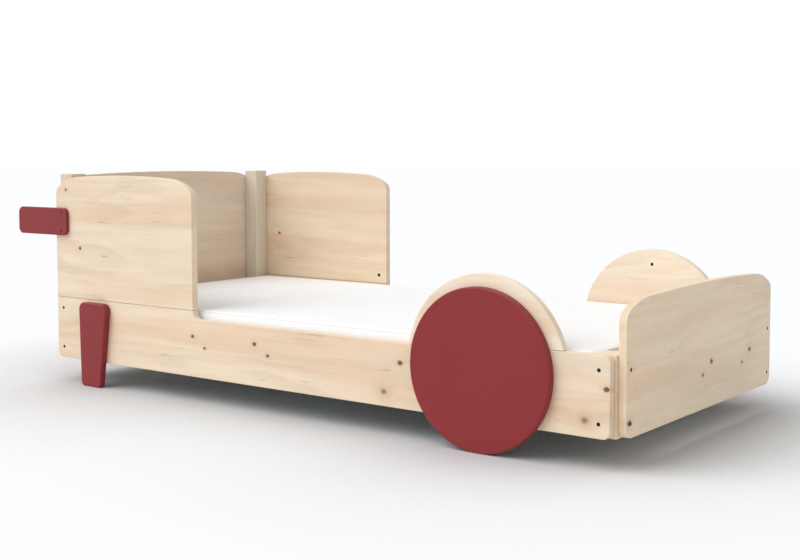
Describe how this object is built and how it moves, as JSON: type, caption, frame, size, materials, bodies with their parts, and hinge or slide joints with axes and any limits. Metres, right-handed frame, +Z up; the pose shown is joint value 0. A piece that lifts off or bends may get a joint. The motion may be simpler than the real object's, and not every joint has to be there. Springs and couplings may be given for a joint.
{
  "type": "floor bed",
  "caption": "Low child's floor bed shaped like a hand cart, with crowned pine boards bolted to corner posts, fixed red discs and legs, handle boards and a slatted base.",
  "frame": {"origin": "on the floor, under the middle of the whole bed", "axes": "+X along the bed from the head end (tall panels and handle boards) to the foot end, +Y across it from the near side in the picture to the far side, +Z up"},
  "size_m": [2.221, 0.995, 0.6739],
  "materials": {
    "pine": "satin lacquer",
    "slat_wood": "planed",
    "dowel_wood": "bare",
    "red_paint": "satin paint",
    "black_bolt": "satin black",
    "insert_steel": "zinc plated",
    "cam_zinc": "cast zinc",
    "screw_steel": "zinc plated",
    "mattress_cover": "woven cotton cover over foam"
  },
  "bodies": {
    "bed_frame": {"cam_housings": "cam_zinc", "cam_pins": "cam_zinc", "foot_post_far": "pine", "foot_post_near": "pine", "footboard": "pine", "footboard_bolts": "black_bolt", "handle_board_far": "red_paint", "handle_board_near": "red_paint", "handle_screws": "black_bolt", "head_post_far": "pine", "head_post_near": "pine", "headboard": "pine", "headboard_bolts": "black_bolt", "ledger_far": "slat_wood", "ledger_near": "slat_wood", "ledger_screws": "screw_steel", "leg_bolts": "black_bolt", "leg_far": "red_paint", "leg_inserts": "insert_steel", "leg_near": "red_paint", "post_dowels": "dowel_wood", "post_inserts": "insert_steel", "rail_bolts": "black_bolt", "rail_top_dowels": "dowel_wood", "side_panel_far": "pine", "side_panel_near": "pine", "side_rail_far": "pine", "side_rail_near": "pine", "slat_01": "slat_wood", "slat_02": "slat_wood", "slat_03": "slat_wood", "slat_04": "slat_wood", "slat_05": "slat_wood", "slat_06": "slat_wood", "slat_07": "slat_wood", "slat_08": "slat_wood", "slat_09": "slat_wood", "slat_10": "slat_wood", "slat_11": "slat_wood", "slat_12": "slat_wood", "slat_13": "slat_wood", "slat_14": "slat_wood", "slat_screws": "screw_steel", "wheel_arch_far": "pine", "wheel_arch_near": "pine", "wheel_bolts": "black_bolt", "wheel_disc_far": "red_paint", "wheel_disc_near": "red_paint", "wheel_inserts": "insert_steel"},
    "mattress": {"mattress": "mattress_cover"}
  },
  "joints": [
    {"name": "mattress_lift", "type": "slide", "parent": "bed_frame", "child": "mattress", "axis": [0, 0, 1], "range_m": [0, 0.35]}
  ]
}
